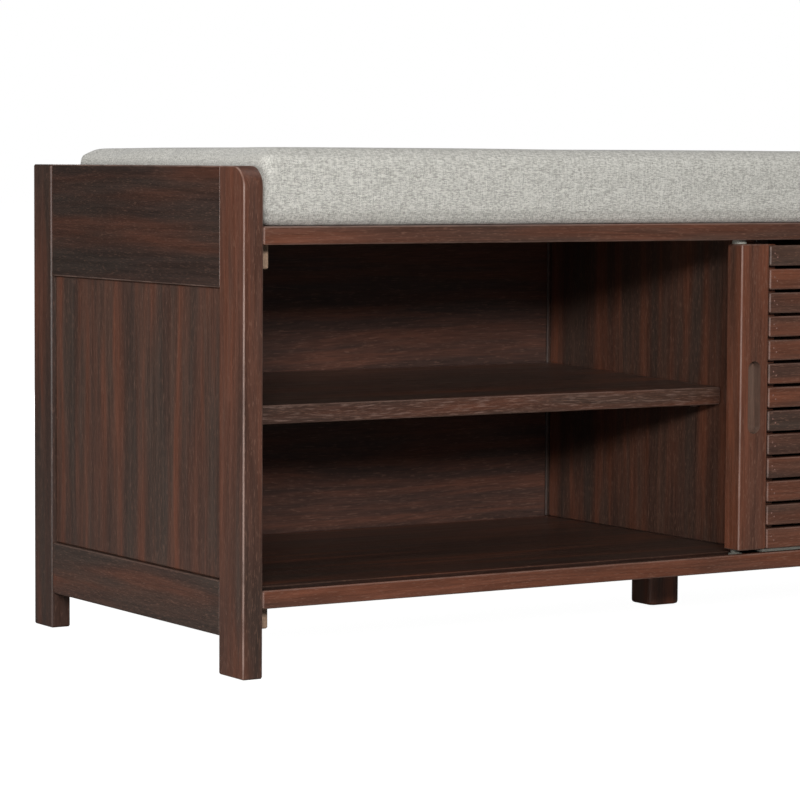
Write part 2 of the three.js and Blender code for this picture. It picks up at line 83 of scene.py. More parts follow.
def linear(colour):
    """Turns an sRGB hex colour into linear red, green and blue."""
    parts = [int(colour[i:i + 2], 16) / 255 for i in (1, 3, 5)]
    return tuple(c / 12.92 if c <= 0.04045 else ((c + 0.055) / 1.055) ** 2.4 for c in parts)


def colour_property(name, colour, description):
    return FloatVectorProperty(
        name=name, description=description, subtype="COLOR", size=3, min=0, max=1, default=linear(colour)
    )


def length_property(name, millimetres, description):
    return FloatProperty(
        name=name, description=description, unit="LENGTH", min=0, precision=4, default=millimetres * MM
    )


# ---- What a user may change ----
class BenchWood(bpy.types.PropertyGroup):
    """Colours and sizes of the woods."""

    dark: colour_property("Stain", "#3f2c24", "Espresso stain where it lies deepest")
    warm: colour_property("Warm streaks", "#683c2a", "Red-brown heartwood under the stain")
    cool: colour_property("Cool streaks", "#3d322b", "Greyish streaks that took the stain unevenly")
    pore: colour_property("Open pores", "#8a6655", "Light filler caught in the open pores")
    # The arrises' pale colour is rubbed wear and also a painted highlight along the arrises.
    worn_and_highlight: colour_property("Rubbed arrises", "#94786c", "Sanded-through arrises, paler than the faces")
    veneer: colour_property("Back veneer", "#412d26", "Stained veneer of the back panels")
    poplar: colour_property("Cleat", "#a58871", "Bare planed poplar of the cleats")
    filler: colour_property("Pin filler", "#8c675c", "Wax filler over the brads in the slats")
    streak_width: length_property("Streak width", 32, "Width of the broad colour streaks")
    streak_length: length_property("Streak length", 420, "Length of the broad colour streaks")
    grain_width: length_property("Grain width", 1.5, "Width of the fine grain lines")
    pore_width: length_property("Pore width", 0.9, "Width of an open pore, drawn coarse enough to show")
    pore_length: length_property("Pore length", 7, "Length of an open pore")


class BenchHardware(bpy.types.PropertyGroup):
    """Sizes and colours of the guides, pins and screws."""

    nylon: colour_property("Nylon", "#c4c2b6", "Natural moulded nylon")
    steel: colour_property("Steel", "#b8b6b2", "Nickel-plated steel")
    screw_head: length_property("Screw head", 8, "Diameter of a cleat screw's head")
    screws_per_face: IntProperty(
        name="Screws per cleat face", description="Screws along each face of a cleat",
        min=1, max=8, default=3,
    )


class BenchCushion(bpy.types.PropertyGroup):
    """Shape and cloth of the seat cushion."""

    light_yarn: colour_property("Light yarn", "#e2e0d8", "Bleached flax yarn")
    dark_yarn: colour_property("Dark yarn", "#a19f98", "Grey flax yarn")
    yarn_pitch: length_property("Yarn pitch", 1.1, "Distance between yarns, drawn coarse enough to show")
    slub_length: length_property("Slub length", 8, "Length of the thick places in a yarn")
    crown: length_property("Crown", 1.2, "Rise of the top's middle over its edges")
    edge: length_property("Edge radius", 10, "Radius of the top's long edges")
    corner: length_property("Corner radius", 9, "Radius of the upright corners")
    pull_in: length_property("Pull-in", 9, "How far the foot of the sides is drawn under")
    seam_depth: length_property("Seam depth", 1.6, "Depth of the sewn seams")
    voxel: length_property("Voxel", 6, "Mesh size for the cloth simulation")
    pressure: FloatProperty(
        name="Pressure", description="Air pressure that plumps the cover", min=0, default=4
    )


class BenchStudio(bpy.types.PropertyGroup):
    """Camera, lights and floor."""

    lens: FloatProperty(
        name="Lens", description="Focal length in mm on a 36 mm sensor", min=1, default=146
    )
    place: FloatVectorProperty(
        name="Camera place", description="Where the camera stands", subtype="TRANSLATION", unit="LENGTH",
        default=(-2.1039, -2.8043, 0.4789),
    )
    heading: FloatProperty(
        name="Heading", description="Turned from the rear towards the right", unit="ROTATION",
        default=radians(32.448),
    )
    pitch: FloatProperty(
        name="Pitch", description="Tilted above the horizon", unit="ROTATION", default=radians(-4.188)
    )
    roll: FloatProperty(
        name="Roll", description="Turned about the line of sight", unit="ROTATION", default=radians(0.317)
    )
    floor: colour_property("Floor", "#939392", "Painted studio floor")
    key: FloatProperty(name="Key light", description="Power of the front softbox in watts", default=165)
    fill: FloatProperty(name="Fill light", description="Power of the left softbox in watts", default=16)
    top: FloatProperty(name="Top light", description="Power of the overhead softbox in watts", default=14)
    rear: FloatProperty(name="Rear light", description="Power of the softbox behind in watts", default=30)
    sky: FloatProperty(name="Surround", description="Strength of the white room's light", default=0.10)


# ---- Materials ----
def add(tree, kind, sockets=None, **settings):
    """Adds one node: settings are its own properties, and sockets gives each input a value or a link."""
    made = tree.nodes.new(kind)
    for name, value in settings.items():
        setattr(made, name, value)
    for key, value in (sockets or {}).items():
        if isinstance(value, bpy.types.NodeSocket):
            tree.links.new(value, made.inputs[key])
        else:
            made.inputs[key].default_value = value
    return made


def new_material(name):
    """An empty node material, and its tree."""
    material = bpy.data.materials.new(name)
    material.use_nodes = True
    material.node_tree.nodes.clear()
    return material, material.node_tree


def finish_material(tree, sockets):
    """Ends a material in one Principled shader."""
    shader = add(tree, "ShaderNodeBsdfPrincipled", sockets)
    add(tree, "ShaderNodeOutputMaterial", {"Surface": shader.outputs[0]})


def opaque(colour):
    return (*colour, 1.0)


def grain_layer(tree, place, axis, width, length, detail=2.0):
    """Noise stretched along the grain: width across it and length along it."""
    stretch = [1 / width] * 3
    stretch[axis] = 1 / length
    scaled = add(tree, "ShaderNodeVectorMath", {0: place, 1: stretch}, operation="MULTIPLY")
    sockets = {"Vector": scaled.outputs[0], "Scale": 1.0, "Detail": detail}
    return add(tree, "ShaderNodeTexNoise", sockets).outputs["Fac"]


def laid_over(tree, under, over, pattern, span, most):
    """Lays one colour over another: none where the pattern is below span, and most where it is above."""
    sockets = {0: pattern, 1: span[0], 2: span[1], 3: 0.0, 4: most}
    amount = add(tree, "ShaderNodeMapRange", sockets, interpolation_type="SMOOTHSTEP").outputs[0]
    return add(tree, "ShaderNodeMix", {0: amount, 6: under, 7: over}, data_type="RGBA").outputs[2]


def toned(tree, colour, pattern, span, shades):
    """Multiplies a colour by the first shade where the pattern is below span, and the second above."""
    sockets = {0: pattern, 1: span[0], 2: span[1], 3: shades[0], 4: shades[1]}
    shade = add(tree, "ShaderNodeMapRange", sockets, interpolation_type="SMOOTHSTEP").outputs[0]
    sockets = {0: 1.0, 6: colour, 7: shade}
    return add(tree, "ShaderNodeMix", sockets, data_type="RGBA", blend_type="MULTIPLY").outputs[2]


def own_place(tree, axis, wander):
    """Object space, shifted for each piece so that no two share their grain, and bent a little."""
    place = add(tree, "ShaderNodeTexCoord").outputs["Object"]
    each = add(tree, "ShaderNodeObjectInfo").outputs["Random"]
    shift = add(tree, "ShaderNodeVectorMath", {0: each, 1: (3.1, 5.7, 7.9)}, operation="MULTIPLY")
    moved = add(tree, "ShaderNodeVectorMath", {0: place, 1: shift.outputs[0]}, operation="ADD").outputs[0]
    bend = grain_layer(tree, moved, axis, 60 * MM, 260 * MM, 0.0)
    offset = add(tree, "ShaderNodeMath", {0: bend, 1: wander}, operation="MULTIPLY").outputs[0]
    return add(tree, "ShaderNodeVectorMath", {0: moved, 1: offset}, operation="ADD").outputs[0]


def arris_mask(tree, rounded):
    """1 on the 45 degree arrises. On a piece rounded across X, only those beside its X faces count."""
    normal = add(tree, "ShaderNodeNewGeometry").outputs["True Normal"]
    plain = add(tree, "ShaderNodeVectorMath", {0: normal}, operation="ABSOLUTE").outputs[0]
    parts = add(tree, "ShaderNodeSeparateXYZ", {0: plain}).outputs
    pair = add(tree, "ShaderNodeMath", {0: parts[0], 1: parts[1]}, operation="MAXIMUM").outputs[0]
    most = add(tree, "ShaderNodeMath", {0: pair, 1: parts[2]}, operation="MAXIMUM").outputs[0]
    sockets = {0: most, 1: 0.80, 2: 0.96, 3: 1.0, 4: 0.0}
    mask = add(tree, "ShaderNodeMapRange", sockets, interpolation_type="SMOOTHSTEP").outputs[0]
    if not rounded:
        return mask
    sockets = {0: parts[0], 1: 0.2, 2: 0.5, 3: 0.0, 4: 1.0}
    beside = add(tree, "ShaderNodeMapRange", sockets, interpolation_type="SMOOTHSTEP").outputs[0]
    return add(tree, "ShaderNodeMath", {0: mask, 1: beside}, operation="MULTIPLY").outputs[0]


def stained_walnut(axis, tone=1.0, warmth=0.0, wear_and_highlight=0.0, scuffed=0.0, rounded=False):
    """Solid hardwood, dyed espresso, rubbed through on its arrises and sealed with a satin lacquer: broad
    red-brown and greyish streaks, fine grain, pores that catch light filler, and a soft even sheen. The
    pale arrises are also a painted highlight."""
    wood = bpy.context.scene.bench_wood
    look = (tone, warmth, wear_and_highlight, scuffed, rounded)
    name = "_".join(["stained_walnut", AXES[axis].lower()] + [f"{value:.2f}" for value in look])
    found = bpy.data.materials.get(name)
    if found:
        return found
    material, tree = new_material(name)
    place = own_place(tree, axis, 9 * MM)
    broad = grain_layer(tree, place, axis, wood.streak_width, wood.streak_length)
    cool = grain_layer(tree, place, axis, wood.streak_width * 0.7, wood.streak_length * 0.6)
    middle = grain_layer(tree, place, axis, 5 * MM, 160 * MM)
    fine = grain_layer(tree, place, axis, wood.grain_width, 45 * MM, 3.0)
    pores = grain_layer(tree, place, axis, wood.pore_width, wood.pore_length, 1.0)
    dark, warm, cool_brown = opaque(wood.dark), opaque(wood.warm), opaque(wood.cool)
    colour = laid_over(tree, dark, warm, broad, (0.32 - warmth, 0.72 - warmth), 1.0)
    colour = laid_over(tree, colour, cool_brown, cool, (0.44 + warmth, 0.70 + warmth), 0.7)
    colour = toned(tree, colour, middle, (0.3, 0.7), (0.88 * tone, 1.10 * tone))
    colour = toned(tree, colour, fine, (0.32, 0.68), (0.80, 1.16))
    colour = laid_over(tree, colour, opaque(wood.pore), pores, (0.57, 0.72), 0.32 * min(tone, 1.2))
    if scuffed:
        scuffs = grain_layer(tree, place, axis, 1.4 * MM, 18 * MM, 3.0)
        colour = laid_over(tree, colour, opaque(wood.worn_and_highlight), scuffs, (0.50, 0.72), scuffed)
    # Pale arrises: rubbed wear, and also a painted highlight where the arrises catch the light.
    if wear_and_highlight:
        patches = grain_layer(tree, place, axis, 7 * MM, 26 * MM, 3.0)
        sockets = {0: patches, 1: 0.34, 2: 0.60, 3: wear_and_highlight * 0.4, 4: wear_and_highlight}
        rubbed = add(tree, "ShaderNodeMapRange", sockets, interpolation_type="SMOOTHSTEP").outputs[0]
        sockets = {0: arris_mask(tree, rounded), 1: rubbed}
        mask = add(tree, "ShaderNodeMath", sockets, operation="MULTIPLY").outputs[0]
        sockets = {0: mask, 6: colour, 7: opaque(wood.worn_and_highlight)}
        colour = add(tree, "ShaderNodeMix", sockets, data_type="RGBA").outputs[2]
    relief = add(tree, "ShaderNodeMath", {0: fine, 1: pores}, operation="SUBTRACT").outputs[0]
    sockets = {0: middle, 1: 0.3, 2: 0.7, 3: 0.36, 4: 0.50}
    sheen = add(tree, "ShaderNodeMapRange", sockets, interpolation_type="SMOOTHSTEP").outputs[0]
    sockets = {"Strength": 0.22, "Distance": 0.5 * MM, "Height": relief}
    bump = add(tree, "ShaderNodeBump", sockets).outputs[0]
    finish_material(tree, {
        "Base Color": colour,
        "Roughness": sheen,
        "IOR": 1.5,
        "Coat Weight": 0.12,
        "Coat Roughness": 0.28,
        "Normal": bump,
    })
    return material


def stained_veneer():
    """Plywood faced with rotary-cut veneer, stained to match: wide lazy figure, few pores, less sheen."""
    wood = bpy.context.scene.bench_wood
    material, tree = new_material("stained_veneer")
    place = own_place(tree, 0, 22 * MM)
    figure = grain_layer(tree, place, 0, 14 * MM, 260 * MM, 3.0)
    fine = grain_layer(tree, place, 0, wood.grain_width, 30 * MM, 3.0)
    flecks = grain_layer(tree, place, 0, wood.pore_width * 1.3, wood.pore_length * 1.6, 1.0)
    colour = laid_over(tree, opaque(wood.veneer), opaque(wood.warm), figure, (0.36, 0.68), 0.6)
    colour = toned(tree, colour, fine, (0.3, 0.7), (0.75, 1.2))
    colour = laid_over(tree, colour, opaque(wood.pore), flecks, (0.60, 0.72), 0.30)
    sockets = {0: figure, 1: 0.3, 2: 0.7, 3: 0.50, 4: 0.62}
    sheen = add(tree, "ShaderNodeMapRange", sockets, interpolation_type="SMOOTHSTEP").outputs[0]
    sockets = {"Strength": 0.2, "Distance": 0.4 * MM, "Height": fine}
    bump = add(tree, "ShaderNodeBump", sockets).outputs[0]
    finish_material(tree, {"Base Color": colour, "Roughness": sheen, "IOR": 1.5, "Normal": bump})
    return material


def planed_poplar(axis):
    """Bare poplar straight off the planer: pale, woolly grain, smears of stain, no gloss."""
    wood = bpy.context.scene.bench_wood
    name = f"planed_poplar_{AXES[axis].lower()}"
    found = bpy.data.materials.get(name)
    if found:
        return found
    material, tree = new_material(name)
    place = own_place(tree, axis, 5 * MM)
    grain = grain_layer(tree, place, axis, 2.2 * MM, 60 * MM, 3.0)
    smears = grain_layer(tree, place, axis, 16 * MM, 40 * MM, 3.0)
    colour = laid_over(tree, opaque(wood.poplar), opaque(wood.dark), smears, (0.50, 0.66), 0.7)
    colour = toned(tree, colour, grain, (0.3, 0.7), (0.78, 1.1))
    sockets = {"Strength": 0.3, "Distance": 0.4 * MM, "Height": grain}
    bump = add(tree, "ShaderNodeBump", sockets).outputs[0]
    finish_material(tree, {"Base Color": colour, "Roughness": 0.72, "IOR": 1.5, "Normal": bump})
    return material


def moulded_nylon(name="moulded_nylon", brightness=1.0):
    """Natural nylon, injection moulded: milky, faintly yellow, with flow mottling and light scuffs. The
    parts that run in the lower groove are drawn much darker."""
    hardware = bpy.context.scene.bench_hardware
    material, tree = new_material(name)
    place = add(tree, "ShaderNodeTexCoord").outputs["Object"]
    mottle = grain_layer(tree, place, 0, 3 * MM, 3 * MM, 3.0)
    scuff = grain_layer(tree, place, 0, 0.5 * MM, 6 * MM, 2.0)
    colour = toned(tree, opaque(hardware.nylon), mottle, (0.3, 0.7), (0.86 * brightness, 1.04 * brightness))
    sockets = {0: scuff, 1: 0.35, 2: 0.65, 3: 0.32, 4: 0.48}
    sheen = add(tree, "ShaderNodeMapRange", sockets, interpolation_type="SMOOTHSTEP").outputs[0]
    sockets = {"Strength": 0.15, "Distance": 0.2 * MM, "Height": scuff}
    bump = add(tree, "ShaderNodeBump", sockets).outputs[0]
    finish_material(tree, {
        "Base Color": colour,
        "Roughness": sheen,
        "IOR": 1.53,
        "Subsurface Weight": 0.15,
        "Subsurface Radius": (1.2 * MM, 1.1 * MM, 0.9 * MM),
        "Normal": bump,
    })
    return material


def plated_steel():
    """Nickel-plated steel, turned then barrel plated: bright, slightly warm, with fine turning marks."""
    hardware = bpy.context.scene.bench_hardware
    material, tree = new_material("plated_steel")
    place = add(tree, "ShaderNodeTexCoord").outputs["Object"]
    marks = grain_layer(tree, place, 0, 0.4 * MM, 2 * MM, 2.0)
    colour = toned(tree, opaque(hardware.steel), marks, (0.3, 0.7), (0.85, 1.0))
    sockets = {0: marks, 1: 0.3, 2: 0.7, 3: 0.24, 4: 0.38}
    sheen = add(tree, "ShaderNodeMapRange", sockets, interpolation_type="SMOOTHSTEP").outputs[0]
    finish_material(tree, {"Base Color": colour, "Metallic": 1.0, "Roughness": sheen})
    return material


def wax_filler():
    """Coloured wax pressed over the brads: dull, a little paler and pinker than the stain."""
    wood = bpy.context.scene.bench_wood
    material, tree = new_material("wax_filler")
    place = add(tree, "ShaderNodeTexCoord").outputs["Object"]
    smear = grain_layer(tree, place, 0, 0.8 * MM, 1.6 * MM, 2.0)
    colour = toned(tree, opaque(wood.filler), smear, (0.3, 0.7), (0.75, 1.1))
    sockets = {"Strength": 0.2, "Distance": 0.2 * MM, "Height": smear}
    bump = add(tree, "ShaderNodeBump", sockets).outputs[0]
    finish_material(tree, {"Base Color": colour, "Roughness": 0.6, "IOR": 1.45, "Normal": bump})
    return material


def plain_weave_linen():
    """Plain-weave linen upholstery: bleached and grey flax yarns over and under each other, with slubs.
    The yarns are drawn thicker than real ones so that the weave shows from across a room."""
    cloth = bpy.context.scene.bench_cushion
    material, tree = new_material("plain_weave_linen")
    place = add(tree, "ShaderNodeTexCoord").outputs["Object"]
    normal = add(tree, "ShaderNodeTexCoord").outputs["Normal"]
    facing = add(tree, "ShaderNodeVectorMath", {0: normal}, operation="ABSOLUTE").outputs[0]
    along_x = add(tree, "ShaderNodeSeparateXYZ", {0: facing}).outputs[0]
    sockets = {0: along_x, 1: 0.6, 2: 0.8, 3: 0.0, 4: 1.0}
    end_face = add(tree, "ShaderNodeMapRange", sockets, interpolation_type="SMOOTHSTEP").outputs[0]

    def yarns(across):
        """Yarns that run one way: across holds the axes that cross them."""
        stretch = [1 / (cloth.yarn_pitch if i in across else cloth.slub_length) for i in range(3)]
        scaled = add(tree, "ShaderNodeVectorMath", {0: place, 1: stretch}, operation="MULTIPLY")
        sockets = {"Vector": scaled.outputs[0], "Scale": 1.0, "Detail": 3.0}
        return add(tree, "ShaderNodeTexNoise", sockets).outputs["Fac"]

    def wave(direction):
        """A ripple from -1 to 1, whose direction gives the ripples in a yarn pitch along each axis."""
        turns = [2 * pi * part / cloth.yarn_pitch for part in direction]
        angle = add(tree, "ShaderNodeVectorMath", {0: place, 1: turns}, operation="DOT_PRODUCT")
        return add(tree, "ShaderNodeMath", {0: angle.outputs["Value"]}, operation="SINE").outputs[0]

    def choose(on_end, elsewhere):
        """One value on the cushion's ends and another on its other faces."""
        sockets = {0: end_face, 2: elsewhere, 3: on_end}
        return add(tree, "ShaderNodeMix", sockets, data_type="FLOAT").outputs[0]

    weft = choose(yarns((0, 2)), yarns((1, 2)))
    warp = choose(yarns((0, 1)), yarns((0,)))
    # Half a ripple to each pitch, so that neighbouring crossings swap which yarn lies on top.
    weft_wave = choose(wave((0, 0.5, 0)), wave((0.5, 0, 0)))
    warp_wave = choose(wave((0, 0, 0.5)), wave((0, 0.5, 0.5)))
    sockets = {0: weft_wave, 1: warp_wave}
    crossing = add(tree, "ShaderNodeMath", sockets, operation="MULTIPLY").outputs[0]
    sockets = {0: crossing, 1: -0.3, 2: 0.3, 3: 0.0, 4: 1.0}
    over = add(tree, "ShaderNodeMapRange", sockets, interpolation_type="SMOOTHSTEP").outputs[0]
    tone = add(tree, "ShaderNodeMix", {0: over, 2: weft, 3: warp}, data_type="FLOAT").outputs[0]
    fibres = grain_layer(tree, place, 0, cloth.yarn_pitch * 0.8, cloth.yarn_pitch * 3, 1.0)
    sockets = {0: fibres, 1: 0.25, 2: 0.75, 3: -0.16, 4: 0.16}
    fuzz = add(tree, "ShaderNodeMapRange", sockets, interpolation_type="SMOOTHSTEP").outputs[0]
    tone = add(tree, "ShaderNodeMath", {0: tone, 1: fuzz}, operation="ADD").outputs[0]
    dark, light = opaque(cloth.dark_yarn), opaque(cloth.light_yarn)
    colour = laid_over(tree, dark, light, tone, (0.22, 0.72), 1.0)
    # Painted shade: darker in the hollows between the yarns.
    standing = add(tree, "ShaderNodeMath", {0: crossing}, operation="ABSOLUTE").outputs[0]
    colour = toned(tree, colour, standing, (0.0, 0.5), (0.90, 1.0))
    sockets = {0: crossing, 1: 0.35, 2: tone}
    height = add(tree, "ShaderNodeMath", sockets, operation="MULTIPLY_ADD").outputs[0]
    sockets = {"Strength": 0.55, "Distance": 0.5 * MM, "Height": height}
    bump = add(tree, "ShaderNodeBump", sockets).outputs[0]
    finish_material(tree, {
        "Base Color": colour,
        "Roughness": 0.92,
        "IOR": 1.45,
        "Sheen Weight": 0.18,
        "Sheen Roughness": 0.5,
        "Normal": bump,
    })
    return material


# ---- Shapes ----
def new_piece(name, mesh, body, material):
    """Shows a mesh as a piece of the bench that rides on a body and wears the given material."""
    piece = bpy.data.objects.new(name, mesh)
    bpy.context.scene.collection.objects.link(piece)
    mesh.materials.append(material)
    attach(piece, body)
    return piece


def mesh_from(name, shape, smooth=True):
    """Turns a bmesh into a mesh with its faces out, and frees it."""
    bmesh.ops.recalc_face_normals(shape, faces=shape.faces)
    mesh = bpy.data.meshes.new(name)
    shape.to_mesh(mesh)
    shape.free()
    for face in mesh.polygons:
        face.use_smooth = smooth
    return mesh


def ring(shape, radius, height, sides, turn):
    """One ring of vertices about +Z, carried into place by turn."""
    angles = [2 * pi * i / sides for i in range(sides)]
    return [shape.verts.new(turn @ Vector((radius * cos(a), radius * sin(a), height))) for a in angles]


def join_rings(shape, low, high):
    """Closes the band between two rings of as many vertices."""
    count = len(low)
    for i in range(count):
        shape.faces.new((low[i], low[(i + 1) % count], high[(i + 1) % count], high[i]))


def turned(shape, profile, turn, sides=32):
    """Adds a turned solid: profile is (radius, height) from bottom to top, about +Z before turn."""
    rings = [ring(shape, radius, height, sides, turn) for radius, height in profile]
    for low, high in zip(rings, rings[1:]):
        join_rings(shape, low, high)
    shape.faces.new(rings[0][::-1])
    shape.faces.new(rings[-1])


def pointing(direction, place):
    """A matrix that carries +Z to direction and the origin to place."""
    turn = Vector((0, 0, 1)).rotation_difference(Vector(direction))
    return Matrix.Translation(place) @ turn.to_matrix().to_4x4()


def screw(shape, place, direction, head, proud):
    """Adds a screw's head with a cross recess; direction is the way it was driven."""
    turn = pointing([-d for d in direction], place)
    radius = head / 2
    rim = [
        (radius * 0.96, -0.3 * MM), (radius, 0.0), (radius * 0.97, proud * 0.35),
        (radius * 0.82, proud * 0.8),
    ]
    rings = [ring(shape, r, h, 24, turn) for r, h in rim]
    for low, high in zip(rings, rings[1:]):
        join_rings(shape, low, high)
    shape.faces.new(rings[0][::-1])
    slot = radius * 0.16
    reach = radius * 0.62
    arms = []
    for quarter in range(4):
        spin = Matrix.Rotation(quarter * pi / 2, 4, "Z")
        for x, y in ((slot, -reach), (slot, -slot)):
            arms.append(spin @ Vector((x, y, 0)))
    cross = []
    for depth in (proud, proud * 0.15):
        cross.append([shape.verts.new(turn @ (arm + Vector((0, 0, depth)))) for arm in arms])
    # The cross has eight points, two for each arm: the end of the arm, and the corner before the next.
    edges = []
    for loop in (rings[-1], cross[0]):
        pairs = zip(loop, loop[1:] + loop[:1])
        edges += [shape.edges.get(pair) or shape.edges.new(pair) for pair in pairs]
    bmesh.ops.bridge_loops(shape, edges=edges)
    join_rings(shape, cross[0], cross[1])
    shape.faces.new(cross[1])


# ---- Operators ----
# The axis of the grain, and words in the names of the pieces that were cut along it.
GRAIN = (
    (0, ("seat_board", "bottom_board", "shelf", "slat", "back_top_rail", "back_bottom_rail")),
    (1, ("rail", "cleat")),
    (2, ("post", "stile", "divider", "panel", "foot", "mullion", "batten")),
)

# Words in a piece's name, how pale and how warm its stain is, how far its arrises are paled by wear and
# painted highlight, and how far its faces are scuffed.
FINISHES = (
    ("front_post", 1.05, 0.06, 0.75, 0.0),
    ("rear_post", 0.85, -0.05, 0.0, 0.0),
    ("shelf", 1.1, -0.08, 0.4, 0.5),
    ("back_", 0.8, 0.0, 0.0, 0.0),
    ("top_rail", 0.62, -0.06, 0.7, 0.0),
    ("bottom_rail", 0.95, -0.10, 0.25, 0.0),
    ("side_panel", 1.1, -0.03, 0.0, 0.0),
    ("seat_board", 1.15, 0.04, 0.4, 0.0),
    ("bottom_board", 1.0, -0.04, 0.4, 0.0),
    ("divider", 1.15, -0.03, 0.2, 0.0),
    ("stile", 1.2, 0.12, 0.55, 0.0),
    ("slat", 1.3, 0.03, 0.35, 0.0),
    # Painted light: the foot's stain is drawn far paler, standing in for the bounce light off the floor.
    ("foot", 2.6, 0.0, 0.0, 0.0),
)
# From a stile's outer side to the middle of its finger pull, and half of a box that holds one pull.
PULL_INSET = 17.75 * MM
PULL_REACH = (10 * MM, 60 * MM)
GROOVE_DEPTH = 8 * MM
# In from each end of a slat and up from its middle, for each of its two brads.
BRADS = ((6 * MM, 2.2 * MM), (9.5 * MM, -1.8 * MM))
BRAD_RADIUS = 0.9 * MM


def finish_of(node):
    """A wooden piece's stain, its arrises paled by wear and a painted highlight, and its scuffs."""
    return next(row[1:] for row in FINISHES if row[0] in node)


def grain_axis(node):
    """The axis along which a wooden piece was cut."""
    return next(axis for axis, words in GRAIN if any(word in node for word in words))


def dress(slot, material_for):
    """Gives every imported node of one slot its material."""
    for name, node in frame["nodes"].items():
        if SLOTS[name] == slot:
            node.data.materials.clear()
            node.data.materials.append(material_for(name))


def dress_inside(name, low, high, material):
    """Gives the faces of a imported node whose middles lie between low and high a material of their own."""
    mesh = frame["nodes"][name].data
    mesh.materials.append(material)
    for face in mesh.polygons:
        if all(low[axis] < face.center[axis] < high[axis] for axis in range(3)):
            face.material_index = len(mesh.materials) - 1


class BENCH_OT_finish_walnut(bpy.types.Operator):
    """Stain the frame, boards, shelves and door, each with the grain along its length."""

    bl_idname = "bench.finish_walnut"
    bl_label = "Stain the solid wood"

    def execute(self, context):
        dress("dark_walnut", lambda name: stained_walnut(
            grain_axis(name), *finish_of(name), rounded="front_post" in name,
        ))
        # Painted light: the finger pulls' recesses take a far paler copy of the stain, so that they read as
        # lit.
        painted_light_pull = stained_walnut(2, tone=2.8, warmth=-0.12)
        for name, inward in (("door_left_stile", 1), ("door_right_stile", -1)):
            low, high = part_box(name)
            middle = (low + high) / 2
            # The pull is in the middle of the stile's face, which ends before the lip behind the slats.
            middle.x = (low.x if inward > 0 else high.x) + inward * PULL_INSET
            reach = Vector((PULL_REACH[0], (high.y - low.y) / 2 - 0.8 * MM, PULL_REACH[1]))
            dress_inside(name, middle - reach, middle + reach, painted_light_pull)
        low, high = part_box("bottom_board")
        door_low, door_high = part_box("door_left_stile")
        inset = Vector((0, 0, 0.5 * MM))
        # Painted shade: the lower groove takes a near-black copy of the stain.
        groove_low = Vector((low.x, door_low.y, high.z - GROOVE_DEPTH))
        groove_high = Vector((high.x, door_high.y + 3 * MM, high.z)) - inset
        dress_inside("bottom_board", groove_low, groove_high, stained_walnut(0, tone=0.3))
        edge_low = low - Vector((MM, MM, MM))
        edge_high = Vector((high.x, low.y + 0.9 * MM, high.z)) + Vector((MM, 0, MM))
        edge = stained_walnut(0, tone=1.15, warmth=0.1, wear_and_highlight=0.4)
        dress_inside("bottom_board", edge_low, edge_high, edge)
        return {"FINISHED"}


class BENCH_OT_finish_back(bpy.types.Operator):
    """Stain the plywood back panels."""

    bl_idname = "bench.finish_back"
    bl_label = "Stain the back panels"

    def execute(self, context):
        veneer = stained_veneer()
        dress("back_plywood", lambda name: veneer)
        return {"FINISHED"}


class BENCH_OT_finish_cleats(bpy.types.Operator):
    """Leave the cleats and the door's rear batten in bare poplar."""

    bl_idname = "bench.finish_cleats"
    bl_label = "Plane the cleats"

    def execute(self, context):
        dress("cleat_poplar", lambda name: planed_poplar(grain_axis(name)))
        return {"FINISHED"}


class BENCH_OT_make_hardware(bpy.types.Operator):
    """Mould the door's guides and turn the shelf pins."""

    bl_idname = "bench.make_hardware"
    bl_label = "Make guides and pins"

    def execute(self, context):
        clean = moulded_nylon()
        greyed = moulded_nylon("greyed_nylon", 0.3)
        steel = plated_steel()
        dress("guide_nylon", lambda name: clean if name.endswith("top_guide") else greyed)
        dress("pin_steel", lambda name: steel)
        for name in sorted(n for n in frame["nodes"] if n.endswith(("top_guide", "bottom_glide"))):
            low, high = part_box(name)
            middle = (low + high) / 2
            radius = (high.x - low.x) / 2
            height = high.z - low.z
            if name.endswith("top_guide"):
                profile = [(radius, 0.0)]
                profile += [(radius * cos(a * pi / 24), height * sin(a * pi / 24)) for a in range(1, 12)]
            else:
                foot = height * 0.62
                ease = radius * 0.12
                profile = [
                    (radius - ease, 0.0), (radius, ease), (radius, foot - ease), (radius - ease, foot),
                    (radius * 0.66, foot), (radius * 0.66, height),
                ]
            shape = bmesh.new()
            turned(shape, profile, Matrix.Translation((middle.x, middle.y, low.z)), 48)
            nylon = clean if name.endswith("top_guide") else greyed
            piece = new_piece(name + "_moulded", mesh_from(name, shape), "door", nylon)
            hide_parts(name)
        for name in sorted(n for n in frame["nodes"] if n.endswith("_pin")):
            low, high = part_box(name)
            middle = (low + high) / 2
            radius = (high.z - low.z) / 2
            length = high.x - low.x
            ease = 0.5 * MM
            shape = bmesh.new()
            turned(shape, [
                (radius - ease, 0.0), (radius, ease), (radius, length - ease), (radius - ease, length),
            ], pointing((1, 0, 0), (low.x, middle.y, middle.z)))
            piece = new_piece(name + "_turned", mesh_from(name, shape), "frame", steel)
            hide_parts(name)
        return {"FINISHED"}


